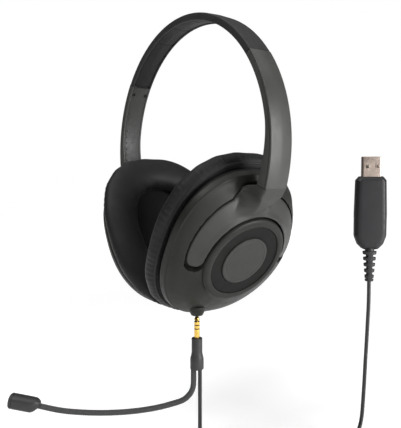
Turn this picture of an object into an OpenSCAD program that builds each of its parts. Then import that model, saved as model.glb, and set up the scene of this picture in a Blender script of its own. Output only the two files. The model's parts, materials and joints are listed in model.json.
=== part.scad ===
// Office headset: sprung headband, two tilting ear cups and a plug-in boom microphone with a USB lead.
// Millimetres, +Z up. The wearer faces -Y and the wearer's left is +X.
// The origin is the underside of the headband pad at the crown.

/* [Headband] */
// Outer radius of the headband arch
band_r = 87; // [85:0.5:90]
// Width of the headband from front to back
band_w = 16; // [15:0.5:18]
// Thickness of the headband at the crown
band_t = 5; // [5:0.1:5.6]
// Angle above horizontal where the padded cover ends and the arms start
cover_a = 37.5; // [34:0.5:42]
// Angle below horizontal where each arm ends at its yoke
arm_a = 17.5; // [16.5:0.5:18.5]
// Travel of each size slider
size_travel = 24; // [12:3:24]

/* [Ear cups] */
// Distance of each hub face centre from the middle of the headset
cup_x = 52; // [51:0.5:54]
// Set-back of each hub behind the headband's middle plane
cup_y = 4; // [3:0.5:5]
// Depth of each hub face centre below the crown
cup_drop = 152.6; // [151:0.2:154]
// Lean of each cup from upright, lower edge inwards
cup_lean = 29; // [27:0.5:31]
// Radius of the hub that stands through the yoke
hub_r = 29.6; // [29:0.1:30]
// Outer radius of the trim ring in the hub
trim_r = 24.5; // [23:0.5:25]
// Radius of the centre cap
cap_r = 16.4; // [14:0.2:18]
// Thickness of the ear cushions
cushion_t = 13.5; // [12:0.5:15]

/* [Microphone plug] */
// Diameter of the plug's contact pin
pin_d = 3.5; // [3.5:0.1:3.5]
// Length of the plug's contact pin
pin_l = 14; // [14:0.1:14.2]
// Length of the plug's grip
grip_l = 20.3; // [18:0.1:22]
// Diameter of the gooseneck boom
boom_d = 3.8; // [3:0.1:4.2]

/* [USB plug and lead] */
// Width of the plug's moulded body
usb_w = 20; // [18:0.5:21]
// Length of the plug's moulded body
usb_l = 48.6; // [44:0.2:52]
// Diameter of the lead
cord_d = 2.6; // [2.4:0.1:2.6]

/* [Hidden] */
$fn = 96;
eps = 0.01;

// Headband layers, measured inwards from the outer radius
band_z = -(band_r - band_t);
cover_t = 2.1;
cover_side = 1.4;
strip_t = 0.8;
pad_r = band_r - cover_t - strip_t;
arm_wall = 3;
arm_plate_w = band_w - 3.2;
arm_end_t = 8.3;
swell_a = 8;

// Size slider: a flat strip that runs straight down out of the arm, leaning inwards
slide_lean = 6;
slide_w = 12;
slide_t = 1.2;
slide_x = 79.6;
slide_z = band_z - 25;
slide_up = size_travel + 13;
slide_down = 3.5;

// Cup dome: one sphere for shell and yoke, centred behind the hub
dome_r = 85;
dome_n = -81.35;
yoke_t = 3.4;
yoke_hole_r = 31;
yoke_outer_r = 42.3;
yoke_rise = 3.5;
neck_lift = 1.4;
leg_r = 5.2;
leg_x = 36.6;
leg_u = -1.5;
pivot_n = -11;
pivot_d = 3;
run_gap = 0.05;

// Shell slices: depth below the hub face, half width, half height, outline power
shell_slices = [[2.2, 30, 30, 2], [4.7, 37, 37, 2], [7.7, 42, 43.5, 2.05], [11, 44, 48.5, 2.2],
    [14, 44.8, 52, 2.3], [16.5, 45, 53.5, 2.35], [19, 44, 52.5, 2.35]];
cavity_slices = [[9, 28, 28, 2], [12.6, 36, 36, 2], [15.6, 41, 43, 2.1], [19 + eps, 42, 50, 2.3]];
rim_n = -19;
outline_x = -2;
outline_u = 1;
baffle_t = 1.7;
plate_t = 1;
cushion_n = rim_n - baffle_t - plate_t;
cushion_gap = 3;
screw_at = [[-28, 34], [26, 34], [26, -32], [-30, 22]];

// Plug axis and heights, under the left cup
plug_x = 21;
plug_y = -10;
collar_z = -189.7;
tip_z = -190.5;
grip_z = tip_z - pin_l;
socket_depth = 14.3;
view_turn = 54;
boom_off = -2.2;
cord_off = 1.9;
grip_end_z = grip_z - grip_l;

// USB plug placement
usb_x = 75.9;
usb_y = 92.7;
usb_tip_z = -87.4;
usb_metal_l = 13;
usb_metal_w = 12;
usb_metal_t = 4.5;
usb_t = 9;
relief_l = 20.5;
usb_body_z = usb_tip_z - usb_metal_l - usb_l;
relief_end_z = usb_body_z - 1.2 - relief_l;

// Floor, and the coil of spare lead that lies on it
floor_z = -280;
coil_x = 60;
coil_r = 14;
coil_columns = 6;
coil_rows = 4;
tie_t = 0.9;
lead_x = plug_x + cord_off * cos(view_turn);
lead_y = plug_y + cord_off * sin(view_turn);
coil_out = coil_r + (coil_columns - 1) * cord_d / 2;
coil_y = lead_y + coil_out;
coil_low_z = floor_z + tie_t + cord_d / 2;
coil_high_z = coil_low_z + (coil_rows - 1) * cord_d;
plug_route = [for (p = [[0, grip_end_z], [0, -240], [0, -255], [0.3, -266], [2.9, -274],
        [8.9, -278], [17.9, -278.7], [27.9, -278.2], [coil_x - lead_x, coil_low_z]])
    [lead_x + p[0], lead_y, p[1]]];
usb_route = [[coil_x + coil_out, coil_y, coil_high_z], [80.5, 24, -271], [80.2, 38, -274.5],
    [79.2, 54, -277.8], [77.2, 69, -278.7], [75.2, 81, -276], [74.3, 88.6, -267], [74.4, 90.6, -251],
    [75, 91.5, -225], [75.6, 92.3, -200], [75.9, 92.7, -184], [75.9, 92.7, relief_end_z]];

// ---------- shared shapes ----------

function arc_pt(r, a) = [r * cos(a), band_z + r * sin(a)];
function in_cup(p) = let (x = p[0] - cup_x, z = p[1] + cup_drop)
    [x * sin(cup_lean) + z * cos(cup_lean), x * cos(cup_lean) - z * sin(cup_lean)];
function oval(a, b, power, count = 72) = [for (i = [0 : count - 1])
    let (t = 360 * i / count, c = cos(t), s = sin(t))
    [a * sign(c) * pow(abs(c), 2 / power), b * sign(s) * pow(abs(s), 2 / power)]];
function spline(p, i, t) = let (a = p[max(i - 1, 0)], b = p[i], c = p[i + 1],
        d = p[min(i + 2, len(p) - 1)])
    0.5 * (2 * b + (c - a) * t + (2 * a - 5 * b + 4 * c - d) * t * t
        + (3 * b - a - 3 * c + d) * t * t * t);
function route(p, steps) = concat(
    [for (i = [0 : len(p) - 2]) for (k = [0 : steps - 1]) spline(p, i, k / steps)],
    [p[len(p) - 1]]);
function unit(v) = v / norm(v);

// Tube swept along a list of points; side is a direction that the route never points along
module tube(path, r, sides, side) {
    last = len(path) - 1;
    rings = [for (i = [0 : last])
        let (t = unit(path[min(i + 1, last)] - path[max(i - 1, 0)]),
            n = unit(cross(t, side)), m = cross(t, n))
        for (k = [0 : sides - 1]) path[i] + r * (cos(360 * k / sides) * n + sin(360 * k / sides) * m)];
    walls = [for (i = [0 : last - 1]) for (k = [0 : sides - 1])
        let (a = i * sides + k, b = i * sides + (k + 1) % sides) [a, b, b + sides, a + sides]];
    polyhedron(rings, concat(walls,
        [[for (k = [sides - 1 : -1 : 0]) k]],
        [[for (k = [0 : sides - 1]) last * sides + k]]));
}

// Part of a ring in the headband's plane, from angle a0 up to a1, with a given width
module arch(r_in, r_out, a0, a1, width) {
    translate([0, 0, band_z]) rotate([90, 0, 0]) rotate([0, 0, a0]) rotate_extrude(angle = a1 - a0)
        translate([r_in, -width / 2]) square([r_out - r_in, width]);
}

// Extrudes a side outline, drawn as x and z, across the width
module across(width) {
    rotate([90, 0, 0]) linear_extrude(width, center = true) children();
}

module left_side() {
    children();
}

module right_side() {
    mirror([1, 0, 0]) children();
}

// Cup frame: x backwards, y up the cup, z outwards from the hub face
module in_cup_frame() {
    translate([cup_x, cup_y, -cup_drop]) rotate([0, cup_lean, 0]) rotate([90, 0, 90]) children();
}

module cup_slice(depth, a, b, power, thick = eps) {
    blend = min(1, depth / 14);
    translate([outline_x * blend, outline_u * blend, -depth])
        linear_extrude(thick) polygon(oval(a, b, power));
}

module cup_plate(depth, thick, a, b) {
    translate([outline_x, outline_u, -depth]) linear_extrude(thick) polygon(oval(a, b, 2.35));
}

// Frame of the plugs: x to the side and y away from the microphone side
module plug_frame() {
    translate([plug_x, plug_y, 0]) rotate([0, 0, view_turn]) children();
}

module usb_frame() {
    translate([usb_x, usb_y, 0]) rotate([0, 0, view_turn]) children();
}

// ---------- headband ----------

// The cover's sides reach down past the strip and hold the pad between them
module headband_cover() {
    color("#343434") difference() {
        arch(band_r - band_t, band_r, cover_a, 180 - cover_a, band_w);
        arch(band_r - band_t - 1, band_r - cover_t, cover_a - 1, 181 - cover_a, band_w - 2 * cover_side);
    }
}

module headband_pad() {
    color("#1c1c1c")
        arch(band_r - band_t, pad_r, cover_a + 0.5, 179.5 - cover_a, band_w - 2 * cover_side - 0.2);
}

module spring_strip() {
    color("#b8b8b8") difference() {
        arch(pad_r + 0.05, band_r - cover_t - 0.05, 22, 158, band_w - 5);
        for (side = [0, 1]) mirror([side, 0, 0]) arm_screw_axes() cylinder(d = 2.1, h = 4);
    }
}

// Side outline of one arm, thicker towards its lower end where the slider runs
module arm_outline(r_out) {
    intersection() {
        union() {
            difference() {
                translate([0, band_z]) circle(band_r, $fn = 360);
                translate([0, band_z]) circle(band_r - band_t, $fn = 360);
            }
            polygon([arc_pt(band_r - band_t, swell_a), arc_pt(band_r - arm_end_t, -arm_a),
                arc_pt(band_r - 1, -arm_a), arc_pt(band_r - 1, swell_a)]);
        }
        arm_sector(r_out);
    }
}

// Everything inside a radius, over the arm's own angles
module arm_sector(r_out) {
    far = band_r * 1.5;
    intersection() {
        translate([0, band_z]) circle(r_out, $fn = 360);
        polygon([[0, band_z], arc_pt(far, cover_a - 0.2), [far, band_z + 20], [far, band_z - 20],
            arc_pt(far, -arm_a)]);
    }
}

// Straight bar along the slider's own line; grow widens it into the channel
module slider_bar(below, above, grow) {
    translate([slide_x, 0, slide_z]) rotate([0, slide_lean, 0])
        translate([-slide_t / 2 - grow, -slide_w / 2 - grow, -below])
            cube([slide_t + 2 * grow, slide_w + 2 * grow, below + above]);
}

module arm_channels() {
    slider_bar(10, slide_up + 1, 0.15);
    arch(pad_r, band_r - cover_t, 21.5, cover_a + 1, band_w - 4.6);
    arm_screw_axes() cylinder(d = 2, h = 3.6);
}

// Carries its children to the four screw places on the arms' inner faces, z pointing outwards
module arm_screw_axes() {
    for (y = [-4.2, 4.2]) {
        translate([0, y, band_z]) rotate([0, 90 - 33, 0]) translate([0, 0, band_r - band_t])
            children();
    }
}

// Outer half of the arm: a channel whose sides hold the inner plate
module arm_shell() {
    color("#4a4a48") difference() {
        across(band_w) arm_outline(band_r);
        across(arm_plate_w) arm_sector(band_r - arm_wall);
        arm_channels();
    }
}

module arm_cover() {
    color("#3e3e3c") difference() {
        across(arm_plate_w - 0.1) arm_outline(band_r - arm_wall - 0.05);
        arm_channels();
        arm_screw_axes() translate([0, 0, -eps]) cylinder(d = 3.6, h = 0.9);
    }
}

module arm_screws() {
    color("#202020") for (side = [0, 1]) mirror([side, 0, 0]) {
        arm_screw_axes() {
            translate([0, 0, 0.3]) cylinder(d = 3.4, h = 0.5);
            translate([0, 0, 0.8]) cylinder(d = 1.9, h = 2.6);
        }
    }
}

module slider() {
    color("#a8a8a8") difference() {
        slider_bar(slide_down, slide_up, 0);
        for (i = [0 : size_travel / 3 - 1]) {
            translate([slide_x, 0, slide_z]) rotate([0, slide_lean, 0])
                translate([0, slide_w / 2, 6 + 3 * i]) rotate([0, 90, 0])
                    cylinder(d = 1.6, h = 4, center = true);
        }
    }
}

// ---------- yokes ----------

module leg_ends(grow, drop) {
    for (x = [-leg_x, leg_x]) {
        translate([x, leg_u - drop]) circle(leg_r + grow);
        translate([x - leg_r - grow + 0.1, leg_u - drop])
            square([2 * (leg_r + grow) - 0.2, drop + 0.5]);
    }
}

module horseshoe(grow, drop) {
    difference() {
        translate([0, yoke_rise]) circle(yoke_outer_r + grow, $fn = 180);
        circle(yoke_hole_r - grow, $fn = 180);
        translate([-60, leg_u - 60]) square([120, 60]);
    }
    leg_ends(grow, drop);
    neck_root(grow, drop > 0 ? neck_lift : 0);
}

// Flared root where the neck meets the plate; lift moves it up the cup, for the room that it needs to tilt
module neck_root(grow, lift) {
    half = band_w / 2 + grow;
    translate([-cup_y, lift]) polygon([[-half - 9, 36], [-half - 3.5, 41], [-half - 1, 44.5], [-half, 49],
        [half, 49], [half + 1, 44.5], [half + 3.5, 41], [half + 9, 36]]);
}

// Solid below the dome's surface, or below a surface a given distance inside it
module dome(inside) {
    r = dome_r - inside;
    rotate_extrude($fn = 180) polygon(concat([[0, -60], [62, -60]],
        [for (x = [62, 56, 50, 45, 40, 35, 30, 20, 0]) [x, dome_n + sqrt(r * r - x * x)]]));
}

// Neck from the arm's end down to the yoke plate, as up-the-cup and outward coordinates
module yoke_neck() {
    top_out = in_cup(arc_pt(band_r, -arm_a - 0.2));
    top_in = in_cup(arc_pt(band_r - arm_end_t, -arm_a - 0.2));
    translate([-cup_y, 0, 0]) rotate([90, 0, 90]) linear_extrude(band_w, center = true)
        polygon([top_out, [top_out[0] - 6, top_out[1] - 1.5], [40, 1.6], [35, -0.4], [31, -2.2],
            [31, -5.6], [43, -10.8], [47, -8.4], top_in]);
}

module pivot_axes() {
    for (side = [-1, 1]) translate([0, 0, pivot_n]) rotate([0, 90 * side, 0]) children();
}

module yoke() {
    color("#4a4a48") difference() {
        in_cup_frame() difference() {
            union() {
                difference() {
                    intersection() {
                        translate([0, 0, -30]) linear_extrude(40) horseshoe(0, 0);
                        dome(0);
                    }
                    dome(yoke_t);
                }
                yoke_neck();
                for (x = [-40.2, 31.8]) {
                    translate([x, -3.8, pivot_n]) cube([8.4, 7.6, 4.6]);
                }
                pivot_axes() translate([0, 0, 31.8]) cylinder(r = 3.8, h = 8.4);
            }
            cylinder(r = yoke_hole_r, h = 60, center = true);
            pivot_axes() translate([0, 0, 25]) cylinder(d = pivot_d, h = 25);
        }
        slider_bar(slide_down, 5, 0);
    }
}

module pivot_pins() {
    color("#b0b0b0") in_cup_frame() pivot_axes() translate([0, 0, 29.9]) cylinder(d = pivot_d, h = 12);
}

// ---------- ear cups ----------

// Hub above the shell: a ring right round and a conical skirt below the yoke's legs
module hub_envelope() {
    translate([0, 0, -5]) cylinder(r = hub_r, h = 4.2);
    translate([0, 0, -0.8]) cylinder(r1 = hub_r, r2 = hub_r - 0.8, h = 0.8, $fn = 180);
    intersection() {
        translate([0, 0, -5]) cylinder(r1 = hub_r + 7.6, r2 = hub_r - 0.8, h = 5, $fn = 180);
        translate([-50, -60 - 8.4, -20]) cube([100, 60, 40]);
    }
}

module yoke_pocket() {
    difference() {
        translate([0, 0, -30]) linear_extrude(50) horseshoe(0.8, 3);
        dome(yoke_t + 1);
    }
    translate([-cup_y - band_w / 2 - 0.8, 33, -11.6]) cube([band_w + 1.6, 30, 30]);
    for (x = [-40.7, 31.2]) translate([x, -9, pivot_n - 4.6]) cube([9.5, 14, 20]);
}

module shell_body() {
    difference() {
        hull() for (s = shell_slices) cup_slice(s[0], s[1], s[2], s[3]);
        hull() for (s = cavity_slices) cup_slice(s[0], s[1], s[2], s[3]);
    }
    intersection() {
        hull() for (s = shell_slices) cup_slice(s[0], s[1], s[2], s[3]);
        union() {
            for (x = [-49, 29.3]) translate([x, -11, -17.4]) cube([19.7, 20, 14]);
            for (p = screw_at) translate([p[0], p[1], rim_n]) cylinder(r = 3.4, h = 8, $fn = 32);
        }
    }
}

module cup_shell() {
    color("#3c3c39") in_cup_frame() difference() {
        shell_body();
        yoke_pocket();
        hub_envelope();
        pivot_axes() translate([0, 0, 25]) cylinder(d = pivot_d + 2 * run_gap, h = 17.2);
        for (p = screw_at) translate([p[0], p[1], rim_n - 1]) cylinder(r = 1.1, h = 7.2);
    }
}

module socket_hole(d, above) {
    translate([plug_x, plug_y, collar_z - 1]) cylinder(d = d, h = socket_depth + 1 + above);
}

module left_cup_shell() {
    difference() {
        union() {
            cup_shell();
            color("#3c3c39") translate([plug_x, plug_y, collar_z]) cylinder(d = 8.6, h = 8);
        }
        socket_hole(6, 1);
    }
}

module hub_ring() {
    color("#4b4b47") in_cup_frame() difference() {
        hub_envelope();
        translate([0, 0, -2]) cylinder(r = trim_r + 0.04, h = 4);
    }
}

module trim_ring() {
    color("#2b2b2b") in_cup_frame() translate([0, 0, -2]) difference() {
        cylinder(r = trim_r, h = 1.4);
        translate([0, 0, -1]) cylinder(r = cap_r + 0.04, h = 4);
    }
}

module hub_cap() {
    color("#454543") in_cup_frame() translate([0, 0, -2]) cylinder(r = cap_r, h = 1.8);
}

module baffle() {
    color("#2a2a2a") in_cup_frame() difference() {
        cup_plate(-rim_n + baffle_t, baffle_t, 43.4, 51.9);
        for (p = screw_at) translate([p[0], p[1], -30]) {
            cylinder(r = 1.15, h = 20);
            cylinder(r = 2.1, h = 10.6);
        }
        for (ring = [1, 2]) for (i = [0 : 6 * ring - 1]) rotate(360 * i / (6 * ring))
            translate([7 * ring, 0, -30]) cylinder(d = 4, h = 20);
        translate([0, 0, -30]) cylinder(d = 4, h = 20);
    }
}

module driver_frame() {
    color("#505050") in_cup_frame() translate([0, 0, rim_n]) difference() {
        cylinder(r = 20, h = 5.4);
        translate([0, 0, -1]) cylinder(r = 18.4, h = 4.6);
        translate([0, 0, 3]) cylinder(r = 10, h = 4);
    }
}

module driver_magnet() {
    color("#909090") in_cup_frame() translate([0, 0, rim_n + 3.2]) cylinder(r = 10, h = 5.6);
}

module diaphragm() {
    color("#d8d4c0") in_cup_frame() translate([0, 0, rim_n + 1.2]) cylinder(r = 18.4, h = 0.6);
}

module cup_screws() {
    color("#303030") in_cup_frame() for (p = screw_at) translate([p[0], p[1], rim_n - 0.6]) {
        translate([0, 0, -1.1]) cylinder(r = 2, h = 1.1);
        cylinder(r = 1.1, h = 6);
    }
}

module cushion_plate() {
    color("#262626") in_cup_frame() difference() {
        cup_plate(-cushion_n, plate_t, 43, 51.5);
        cup_plate(-cushion_n + 1, plate_t + 2, 30, 39.5);
    }
}

module ear_cloth() {
    color("#101010") in_cup_frame() cup_plate(-cushion_n, 0.5, 29.6, 39.1);
}

// Cushion ring section: how far out from the opening to the outer edge, and depth from its back
cushion_section = [[0.1, 0], [0, 3], [0.04, cushion_t - 5], [0.26, cushion_t - 1.2],
    [0.55, cushion_t], [0.84, cushion_t - 1.4], [1, cushion_t - 5], [0.97, 3], [0.8, 0]];

// The cushions lean together at the bottom, so each is flat there, just short of the middle plane
module cushion() {
    count = 44;
    across_n = len(cushion_section);
    outer = oval(49.6, 58.2, 2.4, count);
    inner = oval(25, 34, 2.3, count);
    points = [for (i = [0 : count - 1]) for (s = cushion_section)
        let (at = inner[i] + s[0] * (outer[i] - inner[i]), u = at[1] + outline_u,
            flat_n = (cushion_gap - cup_x - u * sin(cup_lean)) / cos(cup_lean))
        [at[0] + outline_x, u, max(cushion_n - s[1], flat_n)]];
    faces = [for (i = [0 : count - 1]) for (k = [0 : across_n - 1])
        let (j = (i + 1) % count, m = (k + 1) % across_n)
        for (tri = [[i * across_n + k, j * across_n + m, j * across_n + k],
            [i * across_n + k, i * across_n + m, j * across_n + m]]) tri];
    color("#1a1a1a") in_cup_frame() polyhedron(points, faces);
}

// ---------- microphone and its plug ----------

module jack_socket() {
    color("#1c1c1c") difference() {
        translate([plug_x, plug_y, collar_z]) cylinder(d = 6, h = socket_depth + 1);
        translate([plug_x, plug_y, collar_z - 1]) cylinder(d = pin_d + 0.1, h = socket_depth + 1);
    }
}

module pin_bands(list, d) {
    for (b = list) translate([plug_x, plug_y, tip_z - b[1]]) cylinder(d = d, h = b[1] - b[0]);
}

module jack_contacts() {
    color("#c8a24a") {
        translate([plug_x, plug_y, tip_z - 3]) {
            cylinder(d1 = 2.4, d2 = 3.4, h = 1);
            translate([0, 0, 1]) cylinder(d1 = 3.4, d2 = 1.6, h = 2, $fn = 48);
        }
        pin_bands([[3.5, 5.4], [5.9, 7.8], [8.3, pin_l]], pin_d);
    }
}

module jack_insulators() {
    color("#181818") pin_bands([[3, 3.5], [5.4, 5.9], [7.8, 8.3]], pin_d);
}

module plug_grip() {
    color("#444444") translate([plug_x, plug_y, grip_end_z]) difference() {
        union() {
            translate([0, 0, grip_l - 5]) cylinder(d = 7, h = 5);
            cylinder(d1 = 8.8, d2 = 7, h = grip_l - 5, $fn = 64);
        }
        rotate([0, 0, view_turn]) {
            translate([boom_off, 0, -1]) cylinder(d = boom_d, h = 4);
        }
    }
}

// Side route of the boom: offset from the plug axis, and height
boom_points = [[boom_off, grip_end_z + 3], [boom_off, -232], [-2.6, -237], [-4.6, -241.5],
    [-9, -245.5], [-16, -248], [-26, -250.6], [-38, -252.6], [-50, -253.7], [-63, -254.1],
    [-76, -253.7], [-89, -252.4], [-103, -249.4]];

module gooseneck() {
    path = [for (p = route(boom_points, 3)) [p[0], 0, p[1]]];
    color("#2c2c2c") plug_frame() tube(path, boom_d / 2, 12, [0, 1, 0]);
}

mic_lean = 11;
mic_l = 20;
mic_w = 9.4;
mic_t = 8.6;

// Microphone frame: z along the capsule away from the boom
module mic_frame() {
    plug_frame() translate([-103, 0, -249.4]) rotate([0, -90 + mic_lean, 0]) children();
}

module mic_outline(grow) {
    for (y = [-1, 1]) translate([0, y * (mic_t - mic_w / 2 - 3.5)]) circle(mic_w / 2 + grow);
    square([mic_w + 2 * grow, 0.8], center = true);
}

module mic_shell() {
    color("#444444") mic_frame() difference() {
        translate([0, 0, -1]) linear_extrude(mic_l - 2) mic_outline(0);
        translate([0, 0, 2.5]) linear_extrude(mic_l) mic_outline(-1);
        translate([0, 0, -2]) cylinder(d = boom_d + 0.02, h = 5);
    }
}

module mic_cap() {
    color("#3a3a3a") mic_frame() translate([0, 0, mic_l - 3]) {
        difference() {
            linear_extrude(2.2) mic_outline(0);
            for (x = [-2, 0, 2]) translate([x, 0, -1]) cylinder(d = 1.2, h = 5, $fn = 24);
        }
    }
}

module mic_capsule() {
    color("#b0b0a8") mic_frame() translate([0, 0, 11]) cylinder(d = 6, h = 5);
}

// ---------- USB plug ----------

module block(w, t, z0, z1) {
    translate([-w / 2, -t / 2, z0]) cube([w, t, z1 - z0]);
}

module usb_shell() {
    z0 = usb_tip_z - usb_metal_l - 4;
    color("#a89a92") usb_frame() difference() {
        block(usb_metal_w, usb_metal_t, z0, usb_tip_z);
        block(usb_metal_w - 0.7, usb_metal_t - 0.7, z0 - 1, usb_tip_z + 1);
        for (x = [-3.2, 3.2]) translate([x - 1.1, -5, usb_tip_z - 7.6]) cube([2.2, 10, 2.2]);
    }
}

module usb_tongue() {
    color("#e8e8e4") usb_frame() translate([0, 1.0, 0])
        block(usb_metal_w - 0.8, 1.8, usb_tip_z - usb_metal_l - 3, usb_tip_z - 0.8);
}

module usb_contacts() {
    color("#c8a24a") usb_frame() for (x = [-3.5, -1, 1, 3.5]) {
        translate([x, 0.1 - 0.15, 0]) block(1, 0.1, usb_tip_z - usb_metal_l, usb_tip_z - 2);
    }
}

module usb_outline() {
    polygon([[-usb_w / 2 + 1.2, usb_body_z + usb_l], [usb_w / 2 - 1.2, usb_body_z + usb_l],
        [usb_w / 2, usb_body_z + usb_l - 1.5], [usb_w / 2 + 0.5, usb_body_z + 22],
        [usb_w / 2 + 0.5, usb_body_z + 10], [usb_w / 2 - 1.5, usb_body_z + 4],
        [usb_w / 2 - 5, usb_body_z], [5 - usb_w / 2, usb_body_z],
        [1.5 - usb_w / 2, usb_body_z + 4], [-usb_w / 2 - 0.5, usb_body_z + 10],
        [-usb_w / 2 - 0.5, usb_body_z + 22], [-usb_w / 2, usb_body_z + usb_l - 1.5]]);
}

// One half of the moulded body: side is -1 for the front half and 1 for the back
module usb_half(side) {
    y0 = side > 0 ? 0 : -usb_t / 2;
    usb_frame() difference() {
        translate([0, y0 + usb_t / 2, 0]) rotate([90, 0, 0]) linear_extrude(usb_t / 2) usb_outline();
        block(usb_metal_w, usb_metal_t, usb_body_z + usb_l - 4, usb_tip_z);
        block(usb_w - 4, usb_t - 3, usb_body_z + 5, usb_body_z + usb_l - 4);
        translate([0, 0, usb_body_z - 1]) cylinder(d = 6, h = 7);
    }
}

module usb_body_front() {
    color("#363638") usb_half(-1);
}

module usb_body_back() {
    color("#2e2e30") usb_half(1);
}

module usb_board() {
    color("#1e4a34") usb_frame() translate([0, 1.2, 0])
        block(usb_w - 5, 1.2, usb_body_z + 6.2, usb_body_z + usb_l - 4.4);
}

module usb_strain_relief() {
    top = usb_body_z - 1.2;
    color("#2e2e30") usb_frame() difference() {
        union() {
            translate([0, 0, top - eps]) cylinder(d = 6, h = 6);
            translate([0, 0, top - relief_l]) cylinder(d1 = 4.6, d2 = 6.4, h = relief_l, $fn = 48);
            for (i = [0 : 4]) translate([0, 0, top - 2.2 - 4 * i]) {
                cylinder(d = 9.6 - 0.7 * i, h = 2.2);
            }
        }
        translate([0, 0, relief_end_z - 1]) cylinder(d = cord_d, h = 1 + eps);
    }
}

// ---------- lead ----------

module plug_lead() {
    color("#202020") tube(route(plug_route, 3), cord_d / 2, 8, [0, 1, 0]);
}

module usb_lead() {
    color("#202020") tube(route(usb_route, 3), cord_d / 2, 8, [1, 0, 0]);
}

module coil_section(grow) {
    w = coil_columns * cord_d / 2 + grow;
    h = coil_rows * cord_d / 2 + grow;
    polygon([[w, -h + 1], [w, h - 1], [w - 1, h], [1 - w, h], [-w, h - 1], [-w, 1 - h],
        [1 - w, -h], [w - 1, -h]]);
}

coil_mid_z = floor_z + tie_t + coil_rows * cord_d / 2;

module cord_coil() {
    color("#202020") translate([coil_x, coil_y, coil_mid_z])
        rotate_extrude() translate([coil_r, 0]) coil_section(0);
}

module coil_tie() {
    color("#303030") translate([coil_x, coil_y, coil_mid_z]) rotate([0, 0, 128])
        rotate_extrude(angle = 30) translate([coil_r, 0]) difference() {
            coil_section(tie_t);
            coil_section(0.04);
        }
}

headband_cover();
headband_pad();
spring_strip();
left_side() arm_shell();  // left_arm_shell
right_side() arm_shell();  // right_arm_shell
left_side() arm_cover();  // left_arm_cover
right_side() arm_cover();  // right_arm_cover
arm_screws();
left_side() slider();  // left_slider
right_side() slider();  // right_slider
left_side() yoke();  // left_yoke
right_side() yoke();  // right_yoke
left_side() pivot_pins();  // left_pivot_pins
right_side() pivot_pins();  // right_pivot_pins
left_cup_shell();
right_side() cup_shell();  // right_cup_shell
left_side() hub_ring();  // left_hub_ring
right_side() hub_ring();  // right_hub_ring
left_side() trim_ring();  // left_trim_ring
right_side() trim_ring();  // right_trim_ring
left_side() hub_cap();  // left_hub_cap
right_side() hub_cap();  // right_hub_cap
left_side() baffle();  // left_baffle
right_side() baffle();  // right_baffle
left_side() driver_frame();  // left_driver_frame
right_side() driver_frame();  // right_driver_frame
left_side() driver_magnet();  // left_driver_magnet
right_side() driver_magnet();  // right_driver_magnet
left_side() diaphragm();  // left_diaphragm
right_side() diaphragm();  // right_diaphragm
left_side() cup_screws();  // left_cup_screws
right_side() cup_screws();  // right_cup_screws
left_side() cushion_plate();  // left_cushion_plate
right_side() cushion_plate();  // right_cushion_plate
left_side() ear_cloth();  // left_ear_cloth
right_side() ear_cloth();  // right_ear_cloth
left_side() cushion();  // left_cushion
right_side() cushion();  // right_cushion
jack_socket();
jack_contacts();
jack_insulators();
plug_grip();
gooseneck();
mic_shell();
mic_cap();
mic_capsule();
usb_shell();
usb_tongue();
usb_contacts();
usb_body_front();
usb_body_back();
usb_board();
usb_strain_relief();
plug_lead();
usb_lead();
cord_coil();
coil_tie();
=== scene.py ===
import json
import math

import bmesh
import bpy
import numpy as np
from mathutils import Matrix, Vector

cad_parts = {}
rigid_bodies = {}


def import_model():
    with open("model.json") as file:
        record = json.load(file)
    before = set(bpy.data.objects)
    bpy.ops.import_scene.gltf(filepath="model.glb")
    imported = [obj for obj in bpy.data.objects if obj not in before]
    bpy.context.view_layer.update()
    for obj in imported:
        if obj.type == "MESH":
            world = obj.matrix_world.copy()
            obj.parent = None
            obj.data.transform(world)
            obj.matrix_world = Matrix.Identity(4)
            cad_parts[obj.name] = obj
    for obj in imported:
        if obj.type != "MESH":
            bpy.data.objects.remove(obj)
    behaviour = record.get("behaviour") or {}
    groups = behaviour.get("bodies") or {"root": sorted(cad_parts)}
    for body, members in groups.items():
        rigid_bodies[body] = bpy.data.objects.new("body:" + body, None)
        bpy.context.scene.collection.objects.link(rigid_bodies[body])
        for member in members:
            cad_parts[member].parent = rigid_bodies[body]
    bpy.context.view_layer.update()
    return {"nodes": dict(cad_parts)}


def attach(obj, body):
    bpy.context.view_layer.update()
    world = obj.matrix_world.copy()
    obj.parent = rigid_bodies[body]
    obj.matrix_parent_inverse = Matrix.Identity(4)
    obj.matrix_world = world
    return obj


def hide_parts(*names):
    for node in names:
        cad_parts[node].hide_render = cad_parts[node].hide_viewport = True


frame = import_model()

MM = 0.001
UP = np.array([0.0, 0.0, 1.0])

# ---------- sizes, in millimetres, as in the CAD model ----------

BAND_R = 87.0
BAND_T = 5.0
BAND_Z = -(BAND_R - BAND_T)
COVER_END = 37.5
ARM_END = -17.5
ARM_SWELL = 8.0
ARM_END_T = 8.3

CUP_CENTRE = np.array([52.0, 4.0, -152.6])
CUP_LEAN = math.radians(29)
CUP_BACK = np.array([0.0, 1.0, 0.0])
CUP_UP = np.array([math.sin(CUP_LEAN), 0.0, math.cos(CUP_LEAN)])
CUP_OUT = np.array([math.cos(CUP_LEAN), 0.0, -math.sin(CUP_LEAN)])
DOME_R = 85.0
DOME_N = -81.35
HUB_R = 29.6
TRIM_R = 24.5
CAP_R = 16.4
YOKE_T = 3.4
RIM_N = -19.0
CUSHION_N = -21.7
PIVOT_N = -11.0
OUTLINE_CENTRE = np.array([-2.0, 1.0])

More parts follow.
